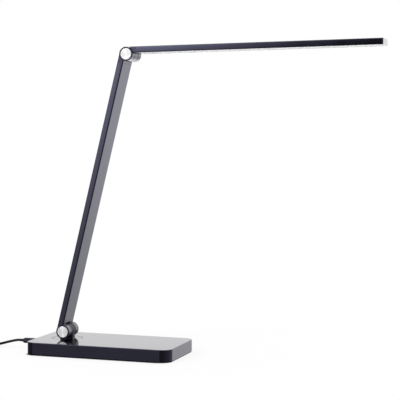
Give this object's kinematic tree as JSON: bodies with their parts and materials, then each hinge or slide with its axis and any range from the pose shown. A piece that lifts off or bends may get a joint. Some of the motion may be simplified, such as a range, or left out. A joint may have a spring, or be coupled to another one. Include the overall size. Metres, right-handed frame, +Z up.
{
  "type": "folding LED desk lamp",
  "caption": "Folding LED desk lamp: weighted base with a swivel disc, flat arm and flat lamp head on friction hinges, and a low-voltage lead with plugs.",
  "frame": {"origin": "centre of the base's footprint on the desk plane, on the underside of the rubber pad", "axes": "+X along the base towards the side the lamp head reaches over, +Y across the base, +Z up"},
  "size_m": [0.5804, 0.1525, 0.4085],
  "materials": {
    "black_gloss_shell": "gloss black moulded",
    "black_satin_plastic": "satin black moulded",
    "black_anodised": "satin black anodised extrusion",
    "black_matt_plastic": "matt black moulded",
    "black_rubber": "matt",
    "black_cord": "satin cord jacket",
    "black_cord_plastic": "satin moulded",
    "zinc_steel": "zinc plated",
    "bare_steel": "rolled plate",
    "black_steel": "black oxide",
    "spun_aluminium": "spun-brushed",
    "nickel_plate": "nickel plated",
    "circuit_board": "solder mask",
    "black_components": "moulded",
    "white_nylon": "natural nylon",
    "red_wire": "wire insulation",
    "black_wire": "lead jacket",
    "white_led_board": "white solder mask on aluminium",
    "led_phosphor": "LED phosphor",
    "white_diffuser": "opal diffuser"
  },
  "bodies": {
    "base": {"base_shell": "black_gloss_shell", "bottom_cover": "black_matt_plastic", "rubber_pad": "black_rubber", "cover_screws": "zinc_steel", "steel_weight": "bare_steel", "control_board": "circuit_board", "driver_parts": "black_components", "inlet_board": "circuit_board", "inlet_socket": "nickel_plate", "control_lead": "red_wire", "plug_shell": "nickel_plate", "plug_body": "black_cord_plastic", "plug_relief": "black_cord_plastic", "cord_run": "black_cord", "cord_coil": "black_cord", "cord_tie": "black_matt_plastic", "cord_tail": "black_cord", "end_plug_relief": "black_cord_plastic", "end_plug_body": "black_cord_plastic", "end_plug_shell": "nickel_plate"},
    "swivel": {"swivel_mount": "black_satin_plastic", "swivel_slip_washer": "white_nylon", "swivel_friction_washer": "black_matt_plastic", "swivel_spring_washer": "zinc_steel", "swivel_nut": "zinc_steel"},
    "arm": {"arm_lower_fork": "black_satin_plastic", "arm_profile": "black_anodised", "arm_upper_fork": "black_satin_plastic", "arm_screws": "black_steel", "arm_lead": "black_wire", "base_hinge_bolt": "zinc_steel", "base_hinge_nut": "zinc_steel", "base_hinge_washers": "zinc_steel", "base_hinge_caps": "spun_aluminium", "top_hinge_bolt": "zinc_steel", "top_hinge_nut": "zinc_steel", "top_hinge_washers": "zinc_steel", "top_hinge_caps": "spun_aluminium"},
    "head": {"head_block": "black_satin_plastic", "head_profile": "black_anodised", "head_screws": "black_steel", "head_lead": "black_wire", "led_board": "white_led_board", "led_chips": "led_phosphor", "diffuser": "white_diffuser", "head_end_cap": "black_satin_plastic"}
  },
  "joints": [
    {"name": "base_swivel", "type": "hinge", "parent": "base", "child": "swivel", "pos_m": [-0.0616, 0, 0.0166], "axis": [0, 0, 1], "range_deg": [-90, 90]},
    {"name": "arm_tilt", "type": "hinge", "parent": "swivel", "child": "arm", "pos_m": [-0.0616, 0, 0.027], "axis": [0, 1, 0], "range_deg": [-45, 76.4]},
    {"name": "head_tilt", "type": "hinge", "parent": "arm", "child": "head", "pos_m": [0.02705, 0, 0.39343], "axis": [0, 1, 0], "range_deg": [-75, 104.6]}
  ]
}
